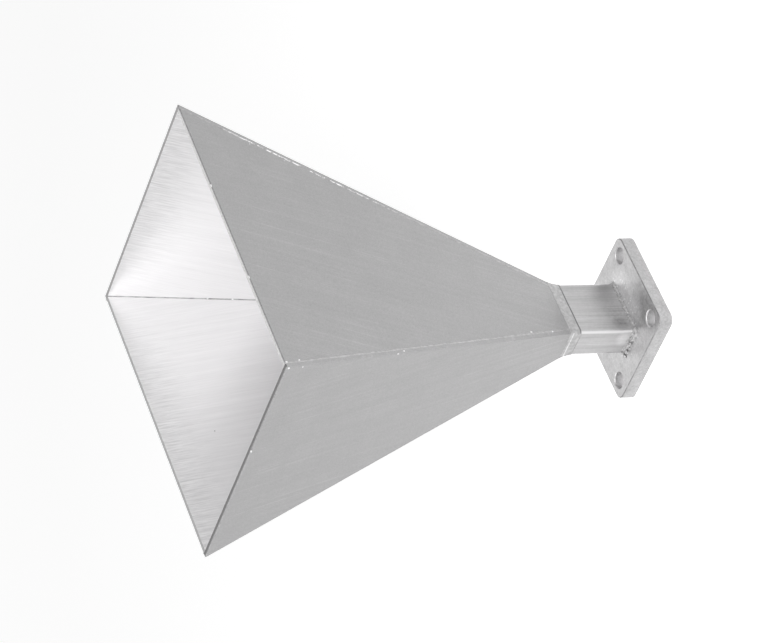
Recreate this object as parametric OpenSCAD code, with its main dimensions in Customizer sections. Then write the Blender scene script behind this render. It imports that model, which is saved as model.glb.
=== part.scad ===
// Pyramidal horn antenna on a short rectangular waveguide with a square cover flange.
// Two broad and two narrow sheet panels form the flare, with the broad ones set between
// the narrow ones. They stand on the end face of a drawn tube, whose other end passes
// through the flange and is flush with its mating face. Brazing joins every piece.
// The origin is in the middle of the flange's mating face, +Z runs along the horn to its
// mouth, X lies along the guide's broad side and Y along its narrow side.

/* [Waveguide] */
// Inside of the guide along its broad side
guide_a = 10.668; // [8.6:0.001:12.9]
// Inside of the guide along its narrow side
guide_b = 4.318; // [3.4:0.001:5.6]
// Wall of the drawn tube
guide_wall = 1.016; // [0.7:0.001:1.3]
// Radius inside the tube's corners
guide_inner_r = 0.4; // [0.2:0.05:0.8]
// Radius outside the tube's corners
guide_outer_r = 0.8; // [0.5:0.05:1.2]
// Length of the tube, from the mating face to the throat
guide_len = 16; // [12:0.1:40]

/* [Flange] */
// Side of the square flange
flange_side = 22.4; // [21.4:0.1:28]
// Thickness of the flange
flange_t = 2.9; // [2:0.1:6]
// Radius of the flange's corners
flange_corner_r = 1.8; // [1:0.1:3]
// Bevel that breaks the flange's edges
flange_edge = 0.15; // [0.05:0.05:0.4]
// Distance between the screw holes along X
hole_pitch_x = 16.26; // [15.6:0.01:18]
// Distance between the screw holes along Y
hole_pitch_y = 17.02; // [15.6:0.01:18]
// Diameter of the screw holes
hole_d = 3.1; // [2.4:0.1:3.5]
// Countersunk edge of the screw holes
hole_edge = 0.2; // [0.05:0.05:0.4]
// Gap round the tube in the flange's window
window_gap = 0.04; // [0.01:0.01:0.1]

/* [Horn] */
// Inside width of the mouth, along X
mouth_w = 62.8; // [40:0.1:90]
// Inside height of the mouth, along Y
mouth_h = 48.3; // [30:0.1:75]
// Height of the flare, from the throat to the mouth
flare_len = 75.1; // [50:0.1:140]
// Thickness of the panels' sheet
sheet_t = 0.91; // [0.7:0.01:1.1]
// Bevel on the outer edge of the mouth's rim
rim_edge = 0.15; // [0.05:0.05:0.3]
// Filed flat along the outer corners of the flare
corner_flat = 0.16; // [0.05:0.01:0.3]

/* [Brazing] */
// Leg of the V groove that holds the filler of an outer corner seam
seam_leg = 0.3; // [0.15:0.05:0.5]
// Leg of the fillet inside a corner seam
seam_fillet = 0.34; // [0.2:0.02:0.6]
// Length of the throat's collar on the tube
collar_tube_len = 1.35; // [0.8:0.05:2.5]
// Length of the throat's collar on the flare
collar_flare_len = 1.1; // [0.6:0.05:2]
// Step of the throat's collar where it starts on the tube
collar_step = 0.13; // [0.08:0.01:0.25]
// Filed flat along the corners of the throat's collar
collar_flat = 0.24; // [0.1:0.02:0.3]
// Leg of the flange's fillet on the tube's broad faces
fillet_broad = 0.55; // [0.3:0.05:1]
// Leg of the flange's fillet on the tube's narrow faces
fillet_narrow = 1.05; // [0.5:0.05:1.5]
// Radius of the drop of filler left on one narrow face
drop_r = 0.85; // [0.6:0.05:1.1]

/* [Hidden] */
$fn = 64;

tube_w = guide_a + 2 * guide_wall;
tube_h = guide_b + 2 * guide_wall;
mouth_z = guide_len + flare_len;
// Where the throat's collar starts on the tube, and where it runs out on the flare
collar_low = guide_len - collar_tube_len;
collar_high = guide_len + collar_flare_len;

// Slope of the walls across X and across Y, as offset for each millimetre of height
slope_x = (mouth_w - guide_a) / (2 * flare_len);
slope_y = (mouth_h - guide_b) / (2 * flare_len);
// Thickness of a sloping panel, measured level
level_t_x = sheet_t * sqrt(1 + slope_x * slope_x);
level_t_y = sheet_t * sqrt(1 + slope_y * slope_y);

// Span of the solids that only cut or trim
reach = 2 * (mouth_w + mouth_h);
// Overrun of a cut past the face that it leaves
over = 1;
// Share of a fillet's leg that its rounded hollow takes
fillet_hollow = 0.9;
// Drop of filler: its place along Y and its height above the flange
drop_y = 0.25;
drop_rise = 0.15;

// Half width of the flare across X or Y at height z, inside or outside
function inner_x(z) = guide_a / 2 + slope_x * (z - guide_len);
function inner_y(z) = guide_b / 2 + slope_y * (z - guide_len);
function outer_x(z) = inner_x(z) + level_t_x;
function outer_y(z) = inner_y(z) + level_t_y;

// A rectangle with round corners, centred on the axis
module round_rect(w, h, r) {
    square([w - 2 * r, h], center = true);
    square([w, h - 2 * r], center = true);
    for (sx = [-1, 1], sy = [-1, 1])
        translate([sx * (w / 2 - r), sy * (h / 2 - r)])
            circle(r = r);
}

// Turns an outline drawn across X and up Z into a prism that runs along Y
module along_y() {
    translate([0, reach / 2, 0])
        rotate([90, 0, 0])
            linear_extrude(height = reach)
                children();
}

// Turns an outline drawn across Y and up Z into a prism that runs along X
module along_x() {
    rotate([0, 0, 90])
        along_y()
            children();
}

// Outline between two sloping walls, with each side's half width at the throat and the mouth
module taper(half_throat, half_mouth) {
    polygon([[-half_throat, guide_len], [half_throat, guide_len],
             [half_mouth, mouth_z], [-half_mouth, mouth_z]]);
}

// The same outline for the outside of the flare, with the mouth's edge broken
module outer_taper(half_throat, half_mouth, slope) {
    edge_x = half_mouth - slope * rim_edge;
    polygon([[-half_throat, guide_len], [half_throat, guide_len],
             [edge_x, mouth_z - rim_edge], [half_mouth - rim_edge, mouth_z],
             [rim_edge - half_mouth, mouth_z], [-edge_x, mouth_z - rim_edge]]);
}

// Space inside the flare across X, and its outer envelope across X
module inner_x_prism() { along_y() taper(inner_x(guide_len), inner_x(mouth_z)); }
module outer_x_prism() { along_y() outer_taper(outer_x(guide_len), outer_x(mouth_z), slope_x); }

// Space inside the flare across Y, and its outer envelope across Y
module inner_y_prism() { along_x() taper(inner_y(guide_len), inner_y(mouth_z)); }
module outer_y_prism() { along_x() outer_taper(outer_y(guide_len), outer_y(mouth_z), slope_y); }

// Keeps what lies on one side of the axis, across X or across Y
module half_x(side) {
    intersection() {
        children();
        translate([side * reach / 2, 0, reach / 2])
            cube(reach, center = true);
    }
}

module half_y(side) {
    intersection() {
        children();
        translate([0, side * reach / 2, reach / 2])
            cube(reach, center = true);
    }
}

// A square bar whose edges point along X and Y, centred on the line between two points
module corner_bar(low, high, r) {
    run = high - low;
    heading = atan2(run.y, run.x);
    tilt = acos(run.z / norm(run));
    translate(low)
        rotate([0, tilt, heading])
            translate([0, 0, -over])
                linear_extrude(height = norm(run) + 2 * over)
                    rotate(-heading)
                        circle(r = r, $fn = 4);
}

// The bar of an outer seam, where a broad panel's outer face meets a narrow panel
module groove_bar(sx, sy) {
    corner_bar([sx * inner_x(guide_len), sy * outer_y(guide_len), guide_len],
               [sx * inner_x(mouth_z), sy * outer_y(mouth_z), mouth_z], seam_leg);
}

// The bar of an inner seam
module fillet_bar(sx, sy) {
    corner_bar([sx * inner_x(guide_len), sy * inner_y(guide_len), guide_len],
               [sx * inner_x(mouth_z), sy * inner_y(mouth_z), mouth_z], seam_fillet);
}

// The bar that files an outer corner of the flare flat
module corner_flat_bar(sx, sy) {
    corner_bar([sx * outer_x(guide_len), sy * outer_y(guide_len), guide_len],
               [sx * outer_x(mouth_z), sy * outer_y(mouth_z), mouth_z], corner_flat);
}

// A broad panel before the grooves of its seams are cut
module broad_blank(sy) {
    half_y(sy)
        difference() {
            intersection() {
                outer_y_prism();
                inner_x_prism();
            }
            inner_y_prism();
        }
}

module broad_panel(sy) {
    color([0.66, 0.66, 0.67])
        difference() {
            broad_blank(sy);
            for (sx = [-1, 1])
                groove_bar(sx, sy);
        }
}

module narrow_panel(sx) {
    color([0.7, 0.7, 0.71])
        half_x(sx)
            difference() {
                intersection() {
                    outer_x_prism();
                    outer_y_prism();
                }
                inner_x_prism();
                for (sy = [-1, 1])
                    corner_flat_bar(sx, sy);
            }
}

// Filler of one corner: the outer seam's groove and the fillet inside
module corner_braze(sx, sy) {
    color([0.74, 0.74, 0.73]) {
        intersection() {
            broad_blank(sy);
            groove_bar(sx, sy);
        }
        intersection() {
            inner_x_prism();
            inner_y_prism();
            fillet_bar(sx, sy);
        }
    }
}

module tube_outline() { round_rect(tube_w, tube_h, guide_outer_r); }

module waveguide_tube() {
    color([0.72, 0.72, 0.73])
        linear_extrude(height = guide_len)
            difference() {
                tube_outline();
                round_rect(guide_a, guide_b, guide_inner_r);
            }
}

// Outline of the collar's side, from its step on the tube to past where it meets the flare
module collar_side(half_low, half_high) {
    beyond = half_high + (half_high - half_low) * over / (collar_high - collar_low);
    polygon([[-half_low, collar_low], [half_low, collar_low],
             [beyond, collar_high + over], [-beyond, collar_high + over]]);
}

module throat_braze() {
    low = [tube_w / 2 + collar_step, tube_h / 2 + collar_step];
    high = [outer_x(collar_high), outer_y(collar_high)];
    color([0.76, 0.76, 0.75])
        difference() {
            intersection() {
                along_y() collar_side(low.x, high.x);
                along_x() collar_side(low.y, high.y);
            }
            for (sx = [-1, 1], sy = [-1, 1])
                corner_bar([sx * low.x, sy * low.y, collar_low],
                           [sx * high.x, sy * high.y, collar_high], collar_flat);
            linear_extrude(height = guide_len)
                tube_outline();
            intersection() {
                outer_x_prism();
                outer_y_prism();
            }
        }
}

// Outline of the flange's fillet: a block with a round hollow at each end
module fillet_side(half_tube, leg) {
    difference() {
        translate([-half_tube - leg, flange_t])
            square([2 * (half_tube + leg), leg]);
        for (s = [-1, 1])
            translate([s * (half_tube + leg), flange_t + leg])
                circle(r = fillet_hollow * leg);
    }
}

module flange_braze() {
    wide = tube_w + 2 * fillet_narrow;
    high = tube_h + 2 * fillet_broad;
    color([0.78, 0.78, 0.77])
        difference() {
            union() {
                intersection() {
                    along_y() fillet_side(tube_w / 2, fillet_narrow);
                    linear_extrude(height = flange_t + fillet_narrow)
                        round_rect(wide, tube_h, guide_outer_r);
                }
                intersection() {
                    along_x() fillet_side(tube_h / 2, fillet_broad);
                    linear_extrude(height = flange_t + fillet_broad)
                        round_rect(tube_w + fillet_broad, high, guide_outer_r);
                }
                translate([-tube_w / 2 - drop_r / 2, drop_y, flange_t + drop_rise])
                    sphere(r = drop_r);
            }
            linear_extrude(height = guide_len)
                tube_outline();
            translate([0, 0, flange_t - reach / 2])
                cube(reach, center = true);
        }
}

// A bar along X or a corner post of the flange, both with the edges broken at both ends
module flange_section(half) {
    polygon([[0, 0], [half - flange_edge, 0], [half, flange_edge],
             [half, flange_t - flange_edge], [half - flange_edge, flange_t], [0, flange_t]]);
}

module flange_bar() {
    straight = flange_side - 2 * flange_corner_r;
    translate([0, straight / 2, 0])
        rotate([90, 0, 0])
            linear_extrude(height = straight) {
                flange_section(flange_side / 2);
                mirror([1, 0]) flange_section(flange_side / 2);
            }
}

module flange_plate() {
    post = flange_side / 2 - flange_corner_r;
    flange_bar();
    rotate([0, 0, 90])
        flange_bar();
    for (sx = [-1, 1], sy = [-1, 1])
        translate([sx * post, sy * post, 0])
            rotate_extrude()
                flange_section(flange_corner_r);
}

module screw_hole() {
    r = hole_d / 2;
    translate([0, 0, -over])
        cylinder(r = r, h = flange_t + 2 * over);
    translate([0, 0, -over])
        cylinder(r1 = r + hole_edge + over, r2 = r, h = hole_edge + over);
    translate([0, 0, flange_t - hole_edge])
        cylinder(r1 = r, r2 = r + hole_edge + over, h = hole_edge + over);
}

module flange() {
    color([0.75, 0.75, 0.76])
        difference() {
            flange_plate();
            translate([0, 0, -over])
                linear_extrude(height = flange_t + 2 * over)
                    round_rect(tube_w + 2 * window_gap, tube_h + 2 * window_gap,
                               guide_outer_r + window_gap);
            for (sx = [-1, 1], sy = [-1, 1])
                translate([sx * hole_pitch_x / 2, sy * hole_pitch_y / 2, 0])
                    screw_hole();
        }
}

flange();
waveguide_tube();
broad_panel(-1);  // broad_panel_front
broad_panel(1);  // broad_panel_rear
narrow_panel(-1);  // narrow_panel_left
narrow_panel(1);  // narrow_panel_right
corner_braze(-1, -1);  // corner_braze_front_left
corner_braze(1, -1);  // corner_braze_front_right
corner_braze(-1, 1);  // corner_braze_rear_left
corner_braze(1, 1);  // corner_braze_rear_right
throat_braze();
flange_braze();
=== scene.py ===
"""Looks of a pyramidal horn antenna: aluminium panels, drawn tube, cover flange and brazed seams.

Every length is in metres, in the part's own frame: origin in the middle of the flange's
mating face, +Z along the horn to its mouth, X across the broad panels, Y across the narrow.
"""

import math
import random

import bmesh
import bpy
from mathutils import Matrix, Vector, noise


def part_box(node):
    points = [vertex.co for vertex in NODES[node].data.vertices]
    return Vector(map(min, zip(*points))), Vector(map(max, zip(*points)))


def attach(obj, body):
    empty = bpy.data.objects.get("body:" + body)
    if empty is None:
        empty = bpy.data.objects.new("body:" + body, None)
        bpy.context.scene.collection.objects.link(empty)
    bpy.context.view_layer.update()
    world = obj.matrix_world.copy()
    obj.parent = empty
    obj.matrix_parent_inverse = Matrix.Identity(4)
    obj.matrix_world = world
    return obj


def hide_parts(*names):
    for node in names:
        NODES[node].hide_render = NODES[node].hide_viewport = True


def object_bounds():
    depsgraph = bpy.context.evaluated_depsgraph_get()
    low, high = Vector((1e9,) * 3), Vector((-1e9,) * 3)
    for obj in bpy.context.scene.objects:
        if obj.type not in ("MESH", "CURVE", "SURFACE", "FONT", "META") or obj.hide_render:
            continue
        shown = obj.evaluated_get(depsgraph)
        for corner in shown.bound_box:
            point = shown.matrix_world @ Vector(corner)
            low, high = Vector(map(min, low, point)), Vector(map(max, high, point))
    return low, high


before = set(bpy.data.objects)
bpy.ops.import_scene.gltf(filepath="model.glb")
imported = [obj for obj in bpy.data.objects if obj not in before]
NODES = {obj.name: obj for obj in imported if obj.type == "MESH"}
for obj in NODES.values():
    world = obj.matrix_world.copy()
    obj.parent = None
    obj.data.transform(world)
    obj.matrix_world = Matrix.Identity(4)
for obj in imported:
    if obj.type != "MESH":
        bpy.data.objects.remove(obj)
CAD_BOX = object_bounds()
MM = 0.001

# ---------------------------------------------------------------- sizes read from the frame


def span(node, axis, z, tolerance=0.02 * MM):
    """Nearest and farthest that a node comes to the axis at height z, along X (0) or Y (1)."""
    found = [abs(v.co[axis]) for v in NODES[node].data.vertices if abs(v.co.z - z) < tolerance]
    return min(found), max(found)


TUBE_X, TUBE_Y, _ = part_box("waveguide_tube")[1]
FLANGE_X, _, FLANGE_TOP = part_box("flange")[1]
PANEL_LO, PANEL_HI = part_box("broad_panel_front")
THROAT_Z, MOUTH_Z = PANEL_LO.z, PANEL_HI.z
FLARE = MOUTH_Z - THROAT_Z
IN_THROAT_X, OUT_THROAT_X = span("narrow_panel_left", 0, THROAT_Z)
IN_THROAT_Y, OUT_THROAT_Y = span("broad_panel_front", 1, THROAT_Z)
SLOPE_X = (span("narrow_panel_left", 0, MOUTH_Z)[0] - IN_THROAT_X) / FLARE
SLOPE_Y = (span("broad_panel_front", 1, MOUTH_Z)[0] - IN_THROAT_Y) / FLARE
# Thickness of the sheet, measured level
LEVEL_X, LEVEL_Y = OUT_THROAT_X - IN_THROAT_X, OUT_THROAT_Y - IN_THROAT_Y


def flare_half(z):
    """Half widths inside the flare at height z, across X and Y."""
    return IN_THROAT_X + SLOPE_X * (z - THROAT_Z), IN_THROAT_Y + SLOPE_Y * (z - THROAT_Z)


# ---------------------------------------------------------------- camera

CAMERA_PLACE = Vector((-0.4405870, -0.4792965, 0.3741386))
AIM = Vector((0.0004324, -0.0003991, 0.0531082))
CAMERA_LENS = 186.753
SENSOR = 36.0
# The horn lies along the picture, so the camera is turned on its side
ROLL = math.radians(-91.548)


def make_camera():
    data = bpy.data.cameras.new("camera")
    data.lens = CAMERA_LENS
    data.sensor_width = SENSOR
    data.clip_start, data.clip_end = 0.01, 50.0
    cam = bpy.data.objects.new("camera", data)
    bpy.context.scene.collection.objects.link(cam)
    look = (AIM - CAMERA_PLACE).to_track_quat("-Z", "Y").to_matrix().to_4x4()
    cam.matrix_world = Matrix.Translation(CAMERA_PLACE) @ look @ Matrix.Rotation(ROLL, 4, "Z")
    bpy.context.scene.camera = cam


make_camera()

# ---------------------------------------------------------------- shader helpers

# A grain size so large that it takes one direction out of a pattern
ENDLESS = 1000.0
# The faint tint of the metal
TINT = (1.0, 0.993, 1.0)
# Where most of a noise's values lie
NOISE_SPREAD = (0.3, 0.7)
# Part of a spot's radius that has its full strength
SPOT_CORE = 0.35
# A dot's full and outer radius, as shares of its cell
DOT_RADII = (0.14, 0.3)


class Shader:
    """The node tree of a material, or of the world, with short calls for what this script needs."""

    def __init__(self, name, world=None):
        self.material = world or bpy.data.materials.new(name)
        self.material.use_nodes = True
        self.tree = self.material.node_tree
        self.tree.nodes.clear()
        self.out = self.add("ShaderNodeOutputWorld" if world else "ShaderNodeOutputMaterial")

    def add(self, kind, **settings):
        node = self.tree.nodes.new(kind)
        for key, value in settings.items():
            setattr(node, key, value)
        return node

    def link(self, source, target):
        self.tree.links.new(source, target)

    def feed(self, socket, value):
        """Links a socket, or sets it where value is a plain number."""
        if isinstance(value, bpy.types.NodeSocket):
            self.link(value, socket)
        else:
            socket.default_value = value

    def math(self, operation, a, b=0.0, clamp=False):
        node = self.add("ShaderNodeMath", operation=operation, use_clamp=clamp)
        self.feed(node.inputs[0], a)
        self.feed(node.inputs[1], b)
        return node.outputs[0]

    def total(self, *values):
        result = values[0]
        for value in values[1:]:
            result = self.math("ADD", result, value)
        return result

    def product(self, *values):
        result = values[0]
        for value in values[1:]:
            result = self.math("MULTIPLY", result, value)
        return result

    def position(self):
        return self.add("ShaderNodeTexCoord").outputs["Object"]

    def axis(self, index, of=None):
        """One coordinate of a vector, or of the place on the part."""
        split = self.add("ShaderNodeSeparateXYZ")
        self.link(of or self.position(), split.inputs[0])
        return split.outputs[index]

    def normal_axis(self, index):
        return self.axis(index, self.add("ShaderNodeNewGeometry").outputs["True Normal"])

    def mapped(self, size, turn=(0.0, 0.0, 0.0), centre=(0.0, 0.0, 0.0)):
        """The place on the part from a centre, turned and measured in grains of that size."""
        node = self.add("ShaderNodeMapping", vector_type="TEXTURE")
        self.link(self.position(), node.inputs["Vector"])
        node.inputs["Location"].default_value = centre
        node.inputs["Rotation"].default_value = turn
        node.inputs["Scale"].default_value = size
        return node.outputs["Vector"]

    def noise(self, vector, detail=3.0, rough=0.55):
        node = self.add("ShaderNodeTexNoise", noise_dimensions="3D")
        self.link(vector, node.inputs["Vector"])
        node.inputs["Scale"].default_value = 1.0
        node.inputs["Detail"].default_value = detail
        node.inputs["Roughness"].default_value = rough
        return node.outputs["Fac"]

    def grain(self, size, detail=3.0, rough=0.55):
        return self.noise(self.mapped((size,) * 3), detail, rough)

    def remap(self, value, low, high, to_low=0.0, to_high=1.0):
        node = self.add("ShaderNodeMapRange", clamp=True)
        self.feed(node.inputs["Value"], value)
        node.inputs["From Min"].default_value = low
        node.inputs["From Max"].default_value = high
        node.inputs["To Min"].default_value = to_low
        node.inputs["To Max"].default_value = to_high
        return node.outputs["Result"]

    def swing(self, value, amount):
        """A noise spread over plus and minus that amount."""
        return self.remap(value, *NOISE_SPREAD, -amount, amount)

    def spot(self, centre, radii):
        """1 at the centre of a soft-edged patch and 0 outside it."""
        node = self.add("ShaderNodeVectorMath", operation="LENGTH")
        place = self.mapped([r * MM for r in radii], centre=[c * MM for c in centre])
        self.link(place, node.inputs[0])
        return self.remap(node.outputs["Value"], SPOT_CORE, 1.0, 1.0, 0.0)

    def dots(self, size, share):
        """Small round dots on a level face, in that share of the cells of that size."""
        cells = self.add("ShaderNodeTexVoronoi", voronoi_dimensions="2D")
        self.link(self.mapped((size,) * 3), cells.inputs["Vector"])
        cells.inputs["Scale"].default_value = 1.0
        kept = self.math("LESS_THAN", self.axis(0, cells.outputs["Color"]), share)
        return self.product(kept, self.remap(cells.outputs["Distance"], *DOT_RADII, 1.0, 0.0))

    def mix(self, factor, a, b):
        node = self.add("ShaderNodeMix", data_type="FLOAT")
        self.feed(node.inputs[0], factor)
        self.feed(node.inputs[2], a)
        self.feed(node.inputs[3], b)
        return node.outputs[0]

    def metal(self, tone, roughness, height, bump):
        """Finishes the material as a metal of that grey, with a bump of that depth."""
        colour = self.add("ShaderNodeCombineColor")
        for socket, share in zip(colour.inputs[:3], TINT):
            self.feed(socket, self.math("MULTIPLY", tone, share))
        relief = self.add("ShaderNodeBump")
        relief.inputs["Strength"].default_value = 1.0
        relief.inputs["Distance"].default_value = bump * MM
        self.link(height, relief.inputs["Height"])
        surface = self.add("ShaderNodeBsdfPrincipled")
        surface.inputs["Metallic"].default_value = 1.0
        self.link(colour.outputs[0], surface.inputs["Base Color"])
        self.feed(surface.inputs["Roughness"], roughness)
        self.link(relief.outputs["Normal"], surface.inputs["Normal"])
        self.link(surface.outputs["BSDF"], self.out.inputs["Surface"])
        return self.material

    def facing_out(self):
        """1 on a face that looks away from the horn's axis, 0 on one that looks towards it."""
        level = self.add("ShaderNodeVectorMath", operation="MULTIPLY")
        self.link(self.add("ShaderNodeNewGeometry").outputs["True Normal"], level.inputs[0])
        level.inputs[1].default_value = (1.0, 1.0, 0.0)
        dot = self.add("ShaderNodeVectorMath", operation="DOT_PRODUCT")
        self.link(level.outputs[0], dot.inputs[0])
        self.link(self.position(), dot.inputs[1])
        return self.math("GREATER_THAN", dot.outputs["Value"], 0.0)


# ---------------------------------------------------------------- materials

# Panel tones: the inside of each sheet is painted lighter (painted light) and the outside darker (painted
# shade)
OUTSIDE_PAINTED_SHADE_TONE, INSIDE_PAINTED_LIGHT_TONE = 0.42, 0.71
# CORNER_HIGHLIGHT_TONE is the tone of a painted highlight on the tube's rounded corners
TUBE_TONE, CORNER_HIGHLIGHT_TONE, FLANGE_TONE, COLLAR_TONE = 0.5, 0.74, 0.55, 0.46
# Tone of the dark line on the flange, of the painted shadow line on the collar, and of the painted highlight
# on the collar's ridge
FLANGE_LINE, COLLAR_SHADOW_TONE, RIDGE_HIGHLIGHT_TONE = 0.25, 0.24, 0.74
# Upward part of the normal, from 0 to 1: where a panel's rim begins, a level front, an upright side
RIM_UP, FRONT_UP, SIDE_UP = (0.40, 0.48), (0.9, 0.97), (0.1, 0.3)
# Height below the mouth where a panel's painted shade streaks begin, and where they are strongest
PAINTED_SHADE_FROM, PAINTED_SHADE_FULL = MOUTH_Z - 10 * MM, MOUTH_Z - MM
# Width of the border that a flange's edge line and sides lie in
FLANGE_BORDER = 0.8 * MM
# Where a highlight is painted on the right-hand seams' filler: start, full, last full and end
SEAM_HIGHLIGHT_SPAN = (46 * MM, 60 * MM, 79 * MM, 85 * MM)


def panel_material(name, across, brush_turn, rim_inside, rim_outside):
    """Brushed sheet: across is the axis, 0 or 1, that runs across the panel, and the two rim
    tones are those of its cut edge at the mouth."""
    s = Shader(name)

    def along(width, length):
        size = [ENDLESS, ENDLESS, length * MM]
        size[across] = width * MM
        turn = [0.0, 0.0, 0.0]
        turn[1 - across] = brush_turn
        return s.mapped(size, turn)

    outside = s.facing_out()
    rim = s.remap(s.normal_axis(2), *RIM_UP)
    streak = s.noise(along(0.17, 7.0), 4.0, 0.65)
    band = s.noise(along(0.9, 45.0), 3.0, 0.5)
    fine = s.grain(0.3 * MM, 3.0, 0.7)
    cloud = s.grain(6 * MM, 4.0, 0.55)

    # Inside: a lighter tone, painted light, with fine brushing and painted shade streaks near the mouth
    half, thick = flare_half(MOUTH_Z), (LEVEL_X, LEVEL_Y)[1 - across]
    away_from_corner = s.remap(s.axis(across), 0.2 * half[across], 0.9 * half[across], 1.0, 0.15)
    near_mouth = s.product(s.remap(s.axis(2), PAINTED_SHADE_FROM, PAINTED_SHADE_FULL), away_from_corner)
    shade_streak = s.noise(along(0.35, 5.0), 4.0, 0.7)
    darkening = s.product(near_mouth, s.remap(shade_streak, 0.38, 0.62, 0.07, -0.11))
    inner = s.total(INSIDE_PAINTED_LIGHT_TONE, s.swing(streak, 0.035), s.swing(band, 0.02), darkening)
    # Outside: a darker tone, painted shade, with matt grain, clouding and long faint scratches
    scratch = s.total(s.remap(s.noise(along(0.3, 50.0), 2.0, 0.4), 0.62, 0.7, 0.0, 0.05),
                      s.remap(s.noise(along(0.14, 16.0), 2.0, 0.5), 0.63, 0.72, 0.0, 0.035))
    scratch = s.product(scratch, s.remap(cloud, 0.4, 0.6, 0.3, 1.0))
    outer = s.total(OUTSIDE_PAINTED_SHADE_TONE, s.swing(fine, 0.04), s.swing(cloud, 0.016), s.swing(band, 0.01),
                    scratch)
    tone = s.mix(outside, inner, outer)
    inner_half = half[1 - across]
    reach = s.math("ABSOLUTE", s.axis(1 - across))
    outward = s.remap(reach, inner_half + 0.6 * thick, inner_half + 0.8 * thick)
    cut_edge = s.product(s.mix(outward, rim_inside, rim_outside),
                         s.remap(fine, *NOISE_SPREAD, 0.75, 1.25))
    tone = s.mix(rim, tone, cut_edge)
    rough = s.mix(outside, s.remap(streak, *NOISE_SPREAD, 0.34, 0.42),
                  s.remap(cloud, *NOISE_SPREAD, 0.42, 0.48))
    return s.metal(tone, rough, s.mix(outside, streak, s.total(fine, scratch)), 0.004)


def tube_material():
    """Drawn tube: streaks along it, painted highlights on its rounded corners and a painted dark reflection
    by the flange.
    """
    s = Shader("drawn_tube")
    streak = s.noise(s.mapped((0.13 * MM, 0.13 * MM, 9 * MM)), 4.0, 0.7)
    band = s.noise(s.mapped((0.7 * MM, 0.7 * MM, 25 * MM)), 3.0, 0.5)
    mottle = s.grain(0.5 * MM, 3.0, 0.65)
    # Painted highlight along the tube's rounded corners
    corner = s.math("ABSOLUTE", s.product(2.0, s.normal_axis(0), s.normal_axis(1)))
    corner_highlight = s.product(s.remap(corner, 0.6, 0.98), s.remap(streak, 0.2, 0.4, 0.75, 1.0))
    # Painted reflection: a dark patch on the tube by the flange, darkest in its core
    dark_reflection = s.product(s.spot((-2.2, -3.2, 5.0), (4.8, 1.6, 3.2)), s.remap(mottle, 0.3, 0.6, 1.0, 0.45))
    dark_reflection_core = s.spot((-4.0, -3.2, 5.4), (1.7, 1.2, 2.3))
    bright_foot = s.spot((-6.4, -1.3, 4.9), (1.0, 2.6, 1.9))
    tone = s.total(TUBE_TONE, s.product(dark_reflection_core, -0.10), s.product(bright_foot, 0.16),
                   s.remap(s.axis(0), -1 * MM, 5 * MM, 0.0, -0.045), s.swing(streak, 0.075),
                   s.swing(band, 0.045), s.swing(mottle, 0.02), s.product(dark_reflection, -0.09))
    tone = s.mix(corner_highlight, tone, CORNER_HIGHLIGHT_TONE)
    return s.metal(tone, s.remap(streak, *NOISE_SPREAD, 0.33, 0.42), streak, 0.006)


def flange_material():
    """Milled plate with a mottled grain and painted glints, and a dark line where its front was broken."""
    s = Shader("flange_plate")
    mottle = s.grain(0.45 * MM, 4.0, 0.65)
    cloud = s.grain(2.6 * MM, 4.0, 0.6)
    up = s.normal_axis(2)
    front = s.remap(up, *FRONT_UP)
    outward = s.math("MAXIMUM", s.math("ABSOLUTE", s.axis(0)), s.math("ABSOLUTE", s.axis(1)))
    border = s.math("GREATER_THAN", outward, FLANGE_X - FLANGE_BORDER)
    line = s.product(s.remap(up, 0.12, 0.3), s.remap(up, 0.86, 0.98, 1.0, 0.0), border,
                     s.remap(cloud, 0.3, 0.5, 0.4, 1.0))
    upright = s.remap(s.math("ABSOLUTE", up), *SIDE_UP, 1.0, 0.0)
    # Painted reflection: the upright walls inside the plate, holes and bore, are made lighter
    bore = s.product(s.math("SUBTRACT", 1.0, border), upright)
    side = s.product(border, upright)
    splash = s.product(front, s.spot((0.0, 0.0, 2.9), (10.5, 9.0, 3.0)))
    # Painted light in front of the tube, over the shade that the tube and fillet cast there
    painted_light_by_tube = s.product(front, s.spot((0.5, -5.0, 2.9), (7.5, 4.4, 3.0)))
    # Painted glints: bright dots round the tube
    glint = s.product(s.dots(0.75 * MM, 0.4), splash)
    darkening = s.product(front, s.spot((-6.2, -8.8, 2.9), (4.6, 3.2, 3.0)),
                     s.remap(mottle, *NOISE_SPREAD, 1.0, 0.6))
    tone = s.total(FLANGE_TONE, s.swing(mottle, 0.09), s.swing(cloud, 0.05),
                   s.product(glint, 0.45), s.product(darkening, -0.12), s.product(splash, 0.04),
                   s.product(painted_light_by_tube, 0.2), s.product(bore, 0.1), s.product(side, -0.07))
    tone = s.mix(line, tone, FLANGE_LINE)
    return s.metal(tone, s.remap(mottle, *NOISE_SPREAD, 0.4, 0.52), mottle, 0.03)


def filler_material(name, low, high, roughness, size=0.4, bump=0.01):
    """Braze filler whose tone wanders between two greys."""
    s = Shader(name)
    wander = s.noise(s.mapped((size * MM, size * MM, 2.5 * size * MM)), 3.0, 0.6)
    return s.metal(s.remap(wander, 0.35, 0.65, low, high), roughness, s.grain(0.15 * MM), bump)


def fillet_material():
    """Rough filler round the tube's foot, with shade painted along the broad sides."""
    s = Shader("fillet_filler")
    wander = s.grain(0.35 * MM, 3.0, 0.65)
    # Painted shade: darker where the fillet faces the broad sides
    broad = s.remap(s.math("ABSOLUTE", s.normal_axis(1)), 0.2, 0.5)
    tone = s.total(s.remap(wander, 0.35, 0.65, 0.38, 0.64), s.product(broad, -0.11))
    return s.metal(tone, 0.55, wander, 0.04)


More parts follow.
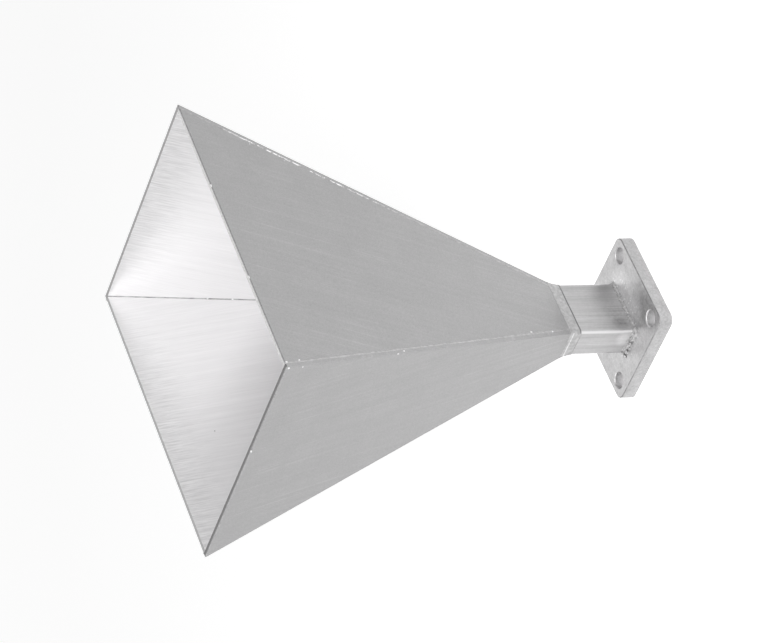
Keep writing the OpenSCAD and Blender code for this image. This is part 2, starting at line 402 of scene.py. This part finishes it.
def seam_highlight_material():
    """Filler of the right-hand seams, with a broken highlight painted on it halfway up the flare."""
    s = Shader("filler_bright")
    z = s.axis(2)
    painted_highlight = s.product(s.remap(z, *SEAM_HIGHLIGHT_SPAN[:2]), s.remap(z, *SEAM_HIGHLIGHT_SPAN[2:], 1.0, 0.0))
    bits = s.remap(s.noise(s.mapped((0.8 * MM, 0.8 * MM, 1.3 * MM)), 4.0, 0.7), 0.46, 0.56)
    tone = s.mix(s.product(painted_highlight, bits), s.remap(bits, 0.0, 1.0, 0.4, 0.5), 0.95)
    return s.metal(tone, 0.34, s.grain(0.15 * MM), 0.01)


def collar_material():
    """Filler round the throat: a painted shadow line along its lower edge in front, and a painted highlight
    line on the left.
    """
    s = Shader("collar_filler")
    wander = s.grain(0.7 * MM, 3.0, 0.6)
    z = s.axis(2)
    front = s.math("LESS_THAN", s.normal_axis(1), -0.5)
    left = s.math("LESS_THAN", s.normal_axis(0), -0.5)
    # Painted shadow of the gap at the tube, low on the front
    low = s.product(front, s.remap(z, COLLAR_LOW + 0.16 * MM, COLLAR_LOW + 0.34 * MM, 1.0, 0.0))
    off_ridge = s.math("ABSOLUTE", s.math("SUBTRACT", z, THROAT_Z + 0.45 * MM))
    # Painted highlight along the bend on the left
    ridge_highlight = s.remap(off_ridge, 0.08 * MM, 0.2 * MM, 1.0, 0.0)
    ridge_highlight = s.product(ridge_highlight, left, s.remap(wander, 0.35, 0.55, 0.3, 1.0))
    tone = s.total(COLLAR_TONE, s.remap(wander, 0.35, 0.7, -0.06, 0.1))
    tone = s.mix(low, tone, COLLAR_SHADOW_TONE)
    tone = s.mix(ridge_highlight, tone, RIDGE_HIGHLIGHT_TONE)
    return s.metal(tone, 0.42, wander, 0.01)


def dress(node, material):
    NODES[node].data.materials.clear()
    NODES[node].data.materials.append(material)


COLLAR_LOW, COLLAR_HIGH = THROAT_Z - 1.32 * MM, THROAT_Z + 1.15 * MM
# Each panel's axis across, the turn of its brushing in radians, and its two rim tones
PANELS = {"broad_panel_front": (0, 0.07, 0.56, 0.30), "broad_panel_rear": (0, 0.07, 0.34, 0.50),
          "narrow_panel_left": (1, 0.07, 0.15, 0.32), "narrow_panel_right": (1, -0.04, 0.30, 0.46)}
for node, setting in PANELS.items():
    dress(node, panel_material(node + "_sheet", *setting))
dress("waveguide_tube", tube_material())
dress("flange", flange_material())
filler = filler_material("filler", 0.42, 0.56, 0.42)
filler_bright = seam_highlight_material()
filler_dark = filler_material("filler_dark", 0.26, 0.46, 0.45, size=0.9)
fillet_filler = fillet_material()
white_metal = filler_material("white_metal", 0.85, 0.95, 0.3)

# ---------------------------------------------------------------- broken edges of the CAD pieces


# Width of the broken edges in millimetres, and the angles between faces that count as flat or as an edge
PANEL_EDGE, PLATE_EDGE = 0.05, 0.07
FLAT_ANGLE, SHARP_ANGLE = math.radians(0.5), math.radians(28)


def soften(node, width):
    """Breaks a CAD node's edges with modifiers, which leave its own mesh as it is."""
    obj = NODES[node]
    obj.modifiers.new("weld", "WELD").merge_threshold = 0.001 * MM
    flat = obj.modifiers.new("flat", "DECIMATE")
    flat.decimate_type = "DISSOLVE"
    flat.angle_limit = FLAT_ANGLE
    bevel = obj.modifiers.new("edge", "BEVEL")
    bevel.width = width * MM
    bevel.segments = 2
    bevel.limit_method = "ANGLE"
    bevel.angle_limit = SHARP_ANGLE
    obj.modifiers.new("normals", "WEIGHTED_NORMAL").keep_sharp = True


for node in NODES:
    if "braze" not in node:
        soften(node, PANEL_EDGE if "panel" in node else PLATE_EDGE)

# ---------------------------------------------------------------- meshes


def new_piece(name, work, materials, node):
    """Makes an object that takes a CAD node's place."""
    bmesh.ops.recalc_face_normals(work, faces=work.faces)
    mesh = bpy.data.meshes.new(name)
    work.to_mesh(mesh)
    work.free()
    mesh.polygons.foreach_set("use_smooth", [True] * len(mesh.polygons))
    for material in materials:
        mesh.materials.append(material)
    obj = bpy.data.objects.new(name, mesh)
    bpy.context.scene.collection.objects.link(obj)
    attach(obj, "root")
    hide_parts(node)


def skin(work, rings, closed, material_index=0):
    """Joins rings of equal length by quads, and either closes the loop or caps both ends."""
    rows = [[work.verts.new(p) for p in ring] for ring in rings]
    following = rows[1:] + rows[:1] if closed else rows[1:]
    faces = []
    for low, high in zip(rows, following):
        for i in range(len(low)):
            j = (i + 1) % len(low)
            faces.append(work.faces.new((low[i], low[j], high[j], high[i])))
    if not closed:
        faces += [work.faces.new(rows[0]), work.faces.new(rows[-1])]
    for face in faces:
        face.material_index = material_index


def lump(place, size):
    """Perlin noise, -1 to 1, with lumps of that size."""
    return noise.noise(Vector(place) / size)


def blob(work, place, radii, seed, rough=0.2, material_index=0, detail=2):
    """A lumpy ball of metal at a place in metres, with radii in millimetres."""
    made = bmesh.ops.create_icosphere(work, subdivisions=detail, radius=1.0)
    for v in made["verts"]:
        swell = 1 + rough * lump(v.co * 1.4 + Vector((seed, 0, 0)), 1.0)
        v.co = Vector(place) + Vector([r * MM * c * swell for r, c in zip(radii, v.co)])
    for face in {f for v in made["verts"] for f in v.link_faces}:
        face.material_index = material_index


RING_STEPS = (60, 26)
CORNER_STEPS = 8


def rounded_ring(half_x, half_y, radius, z=0.0):
    """Points around a rectangle with round corners, each with its way out."""
    signs = ((1, 1), (-1, 1), (-1, -1), (1, -1))
    centres = [Vector((sx * (half_x - radius), sy * (half_y - radius), z)) for sx, sy in signs]
    points = []
    for quarter in range(4):
        for k in range(CORNER_STEPS):
            angle = math.pi / 2 * (quarter + k / CORNER_STEPS)
            out = Vector((math.cos(angle), math.sin(angle), 0))
            points.append((centres[quarter] + radius * out, out))
        after = math.pi / 2 * (quarter + 1)
        out = Vector((math.cos(after), math.sin(after), 0))
        start, end = centres[quarter] + radius * out, centres[(quarter + 1) % 4] + radius * out
        steps = RING_STEPS[quarter % 2]
        points += [(start.lerp(end, k / steps), out) for k in range(steps)]
    return points


def curve(a, b, c, t):
    """A point on the parabola that leaves a towards b and lands on c."""
    return tuple((1 - t) ** 2 * p + 2 * t * (1 - t) * q + t * t * r for p, q, r in zip(a, b, c))


# ---------------------------------------------------------------- seams of the flare

SEAM_STEP = 0.2 * MM
GROOVE = 0.3 * MM
SEAM_SPECKS = 12
# Drops and grains left near a seam: place in millimetres, radii and material
STRAYS = {
    "front_left": (
        ((-32.45, -3.7, 91.12), (0.2, 0.24, 0.14), 2),
        ((-31.0, -25.0, 90.7), (0.2, 0.1, 0.22), 2),
        ((-32.2, -24.7, 90.6), (0.12, 0.22, 0.2), 2),
        ((-29.8, -24.1, 87.6), (0.14, 0.07, 0.16), 2),
        ((-31.0, -23.6, 87.2), (0.08, 0.16, 0.16), 2),
        ((-22.9, -17.2, 63.8), (0.1, 0.1, 0.2), 2),
        ((-21.7, -16.6, 62.0), (0.16, 0.06, 0.18), 2),
        ((-8.9, -6.55, 27.7), (0.18, 0.06, 0.25), 2),
        ((-7.4, -4.9, 22.1), (0.2, 0.06, 0.3), 2),
        ((-8.6, -5.44, 24.0), (0.2, 0.05, 0.24), 1),
        ((-10.9, -25.0, 91.08), (0.35, 0.12, 0.07), 2),
    ),
    "front_right": (
        ((11.6, -25.0, 91.08), (0.4, 0.12, 0.07), 2),
        ((-5.6, 21.42, 81.7), (0.16, 0.05, 0.16), 1),
    ),
    "rear_right": (
        ((25.4, 19.05, 74.0), (0.12, 0.12, 0.2), 2),
        ((23.9, 17.8, 69.7), (0.14, 0.14, 0.22), 2),
    ),
    "rear_left": (),
}


def make_seam(corner_name, sx, sy):
    """Filler along one corner: a thin bead outside and a thinner one in the corner inside."""
    work = bmesh.new()
    steps = round(FLARE / SEAM_STEP)
    outer, inner = [], []
    for i in range(steps + 1):
        z = THROAT_Z + FLARE * i / steps
        half_x, half_y = flare_half(z)
        corner = Vector((sx * half_x, sy * (half_y + LEVEL_Y), z))
        swell = [0.5 + lump(corner + Vector((k * 3.1 * MM, 0, 0)), 1.3 * MM) for k in range(4)]
        fine = lump(corner, 0.45 * MM)
        rise = 0.05 * MM * max(0.0, swell[0] + 0.6 * fine)
        wide = GROOVE + (0.08 * swell[1] + 0.03 * fine) * MM
        lap = (0.06 + 0.07 * swell[2]) * MM
        section = ((-lap, 0.0), (-0.4 * lap, 0.75 * rise), (0.25 * wide, rise),
                   (0.65 * wide, 0.8 * rise), (wide, 0.0), (0.4 * wide, -0.4 * GROOVE), (0.0, -0.9 * GROOVE))
        outer.append([corner + Vector((-sx * u, sy * v, 0)) for u, v in section])
        corner = Vector((sx * half_x, sy * half_y, z))
        leg_x = (0.13 + 0.08 * swell[3] + 0.04 * fine) * MM
        leg_y = (0.13 + 0.08 * swell[1] - 0.04 * fine) * MM
        sink = 0.03 * MM
        section = ((-sink, -sink), (-sink, leg_y), (0.35 * leg_x, 0.4 * leg_y), (leg_x, -sink))
        inner.append([corner + Vector((-sx * u, -sy * v, 0)) for u, v in section])
    skin(work, outer, False)
    skin(work, inner, False, 1)
    rng = random.Random(corner_name)
    for k in range(SEAM_SPECKS):
        z = THROAT_Z + FLARE * rng.uniform(0.02, 0.97)
        half_x, half_y = flare_half(z)
        place = Vector((sx * (half_x - rng.uniform(-0.5, 0.9) * MM), sy * (half_y + LEVEL_Y), z))
        r = rng.uniform(0.05, 0.11)
        blob(work, place, (r, 0.5 * r, 1.4 * r), k * 7.7, detail=1)
    for k, (place, radii, index) in enumerate(STRAYS[corner_name]):
        blob(work, Vector(place) * MM, radii, k * 4.3, 0.35, index)
    # The right-hand seams get the filler with the painted highlight
    bead = filler_bright if sx > 0 else filler
    new_piece("seam_" + corner_name, work, (bead, filler_dark, white_metal),
              "corner_braze_" + corner_name)


for side_y, sy in (("front", -1), ("rear", 1)):
    for side_x, sx in (("left", -1), ("right", 1)):
        make_seam(side_y + "_" + side_x, sx, sy)

# ---------------------------------------------------------------- collar at the throat

COLLAR_STEP = 0.085 * MM
TUBE_R = 0.8 * MM
COLLAR_ROWS = 14
SUNK = 0.05 * MM


def make_collar():
    """Filler that runs from the tube onto the flare in a hollow curve."""
    work = bmesh.new()
    half_x, half_y = flare_half(COLLAR_HIGH)
    top = (half_x + LEVEL_X + 0.02 * MM, half_y + LEVEL_Y + 0.02 * MM)
    rings = []
    for i in range(COLLAR_ROWS + 1):
        t = i / COLLAR_ROWS
        halves = [curve((tube + COLLAR_STEP, COLLAR_LOW), (tube + 0.06 * MM, THROAT_Z - 0.1 * MM),
                        (high, COLLAR_HIGH), t) for tube, high in zip((TUBE_X, TUBE_Y), top)]
        ring = []
        corner_r = TUBE_R * (1 - 0.75 * t)
        for point, out in rounded_ring(halves[0][0], halves[1][0], corner_r, halves[0][1]):
            hill = (0.03 * lump(point, 1.1 * MM) + 0.012 * lump(point, 0.3 * MM)) * MM * (1 - 0.7 * t)
            drift = 0.05 * MM * lump(point + Vector((0, 0, 9 * MM)), 1.6 * MM) * (1 - abs(2 * t - 1))
            ring.append(point + out * hill + Vector((0, 0, drift)))
        rings.append(ring)
    for t in (1.0, 0.5, 0.0):
        z = COLLAR_LOW + (COLLAR_HIGH - COLLAR_LOW) * t
        inside_x, inside_y = flare_half(z)
        half_x = max(TUBE_X, inside_x + LEVEL_X) - SUNK
        half_y = max(TUBE_Y, inside_y + LEVEL_Y) - SUNK
        rings.append([p for p, _ in rounded_ring(half_x, half_y, TUBE_R * (1 - 0.75 * t), z)])
    skin(work, rings, True)
    new_piece("collar", work, (collar_material(),), "throat_braze")


make_collar()

# ---------------------------------------------------------------- filler between tube and flange

LEG_BROAD, LEG_NARROW = 0.62, 1.0
FILLET_ROWS = 12
FILLET_GRAINS = 80
# Runs and drops on the left side: place beyond the tube, along Y and above the flange, then radii
DROPS = (((-0.3, 0.0, 0.3), (0.36, 0.6, 0.42)), ((-0.5, 1.0, 0.12), (0.36, 0.45, 0.22)),
         ((-0.2, -1.3, 0.6), (0.16, 0.4, 0.24)), ((-0.4, 1.95, 0.4), (0.26, 0.35, 0.26)),
         ((-0.1, 2.7, 0.9), (0.14, 0.3, 0.14)), ((-0.7, -0.6, 0.02), (0.28, 0.4, 0.12)),
         ((-0.12, -2.5, 0.5), (0.16, 0.25, 0.22)))
# The hole where the filler ran short, seen as a dark hollow
PIT = ((-6.62, 3.35, 3.12), (0.42, 0.34, 0.24))


def leg_at(out):
    """Size of the fillet where its way out is that, in millimetres."""
    return LEG_BROAD + (LEG_NARROW - LEG_BROAD) * out.x * out.x


def make_fillet():
    work = bmesh.new()
    around = rounded_ring(TUBE_X, TUBE_Y, TUBE_R)
    rings = []
    for i in range(FILLET_ROWS + 1):
        t = i / FILLET_ROWS
        ring = []
        for point, out in around:
            leg = leg_at(out)
            ripple = lump(point, 0.35 * MM)
            rise = leg * (1.0 + 0.28 * lump(point + Vector((0, 0, 5 * MM)), 0.9 * MM) + 0.12 * ripple)
            spread = 0.85 * leg * (1.0 + 0.3 * lump(point, 0.8 * MM) + 0.14 * ripple)
            away, high = curve((0.0, rise), (0.04, 0.06), (spread, -0.01), t)
            bulge = (0.07 + 0.09 * out.x * out.x) * lump(point + Vector((0, 0, 3 * MM * t)), 0.5 * MM)
            bulge = max(bulge * math.sin(math.pi * t), -0.4 * away)
            ring.append(point + out * (away + bulge) * MM +
                        Vector((0, 0, FLANGE_TOP + (high + 0.5 * bulge) * MM)))
        rings.append(ring)
    up = Vector((0, 0, FLANGE_TOP))
    inside = [p for p, _ in rounded_ring(TUBE_X - SUNK, TUBE_Y - SUNK, TUBE_R)]
    rings.append([p + out * 0.6 * leg_at(out) * MM + up - Vector((0, 0, SUNK)) for p, out in around])
    rings.append([p + up - Vector((0, 0, SUNK)) for p in inside])
    rings.append([p + up + Vector((0, 0, 0.4 * MM)) for p in inside])
    skin(work, rings, True)
    for k, ((dx, y, dz), radii) in enumerate(DROPS):
        blob(work, (dx * MM - TUBE_X, y * MM, FLANGE_TOP + dz * MM), radii, k * 5.3, 0.45, detail=3)
    blob(work, Vector(PIT[0]) * MM, PIT[1], 2.0, 0.5, 1, 3)
    rng = random.Random(5)
    for k in range(FILLET_GRAINS):
        point, out = rng.choice(around)
        r = rng.uniform(0.03, 0.065)
        away = abs(rng.gauss(0.25, 0.5))
        place = point + out * away * MM + up + Vector((0, 0, max(0.0, 0.5 - away) * 0.6 * MM))
        blob(work, place, (r, r, 0.8 * r), k * 3.1, material_index=2, detail=1)
    new_piece("flange_fillet", work, (fillet_filler, filler_dark, white_metal), "flange_braze")


make_fillet()

# ---------------------------------------------------------------- studio

FLOOR_SIZE = 6.0
FLOOR_TONE = 0.8
# Gap under the part, so that the two flat faces don't share a plane
FLOOR_GAP = 0.05 * MM
# Glow of the white floor as the camera and mirrors see it, and the pool of light at its middle
FLOOR_GLOW, POOL_GLOW, POOL_SIZE = 0.5, 0.2, 0.08
# Further glow of the floor beyond the lamps' reach, with the distances where it starts and is full
FAR_GLOW, FAR_START, FAR_FULL = 0.24, 0.3, 1.2
# Strength of the white world for the camera and for metal, and its light on a dull surface
WORLD_WHITE, WORLD_LIGHT = 1.0, 0.35
LAMP_AIM = Vector((0, 0, 0.06))
LAMP_AWAY, LAMP_SIZE = 0.9, 0.45
# Azimuth from -Y towards +X and elevation in degrees, and power in watts
LAMPS = {"key": (315, 40, 2.8), "left_back": (225, 40, 1.45), "right_back": (135, 40, 0.16)}


def seen_or_mirrored(s):
    path = s.add("ShaderNodeLightPath")
    seen = s.total(path.outputs["Is Camera Ray"], path.outputs["Is Glossy Ray"],
                   path.outputs["Is Transmission Ray"])
    return s.math("MINIMUM", seen, 1.0)


def make_floor():
    mesh = bpy.data.meshes.new("floor")
    work = bmesh.new()
    bmesh.ops.create_grid(work, x_segments=1, y_segments=1, size=FLOOR_SIZE)
    work.to_mesh(mesh)
    work.free()
    floor = bpy.data.objects.new("floor", mesh)
    bpy.context.scene.collection.objects.link(floor)
    floor.location.z = CAD_BOX[0][2] - FLOOR_GAP
    s = Shader("floor")
    away = s.add("ShaderNodeVectorMath", operation="LENGTH")
    s.link(s.mapped((POOL_SIZE,) * 3), away.inputs[0])
    pool = s.math("EXPONENT", s.product(away.outputs["Value"], away.outputs["Value"], -0.5))
    glow = s.add("ShaderNodeEmission")
    far = s.remap(away.outputs["Value"], FAR_START / POOL_SIZE, FAR_FULL / POOL_SIZE, 0.0, FAR_GLOW)
    shine = s.total(s.product(pool, POOL_GLOW), far, FLOOR_GLOW)
    s.link(s.product(seen_or_mirrored(s), shine), glow.inputs["Strength"])
    matt = s.add("ShaderNodeBsdfDiffuse")
    matt.inputs["Color"].default_value = (FLOOR_TONE,) * 3 + (1.0,)
    both = s.add("ShaderNodeAddShader")
    s.link(matt.outputs[0], both.inputs[0])
    s.link(glow.outputs[0], both.inputs[1])
    s.link(both.outputs[0], s.out.inputs["Surface"])
    mesh.materials.append(s.material)


def make_world():
    world = bpy.data.worlds.new("studio")
    bpy.context.scene.world = world
    s = Shader("studio", world)
    back = s.add("ShaderNodeBackground")
    back.inputs["Color"].default_value = (1.0, 1.0, 1.0, 1.0)
    s.link(s.remap(seen_or_mirrored(s), 0.0, 1.0, WORLD_LIGHT, WORLD_WHITE), back.inputs["Strength"])
    s.link(back.outputs[0], s.out.inputs["Surface"])


def make_lamp(name, azimuth, elevation, power):
    turn, lift = math.radians(azimuth), math.radians(elevation)
    way = Vector((math.sin(turn) * math.cos(lift), -math.cos(turn) * math.cos(lift), math.sin(lift)))
    data = bpy.data.lights.new(name, "AREA")
    data.shape = "DISK"
    data.size = LAMP_SIZE
    data.energy = power
    lamp = bpy.data.objects.new(name, data)
    bpy.context.scene.collection.objects.link(lamp)
    lamp.matrix_world = Matrix.Translation(LAMP_AIM + way * LAMP_AWAY) @ \
        (-way).to_track_quat("-Z", "Y").to_matrix().to_4x4()


make_floor()
make_world()
for name, setting in LAMPS.items():
    make_lamp(name, *setting)
bpy.context.scene.view_settings.view_transform = "Standard"
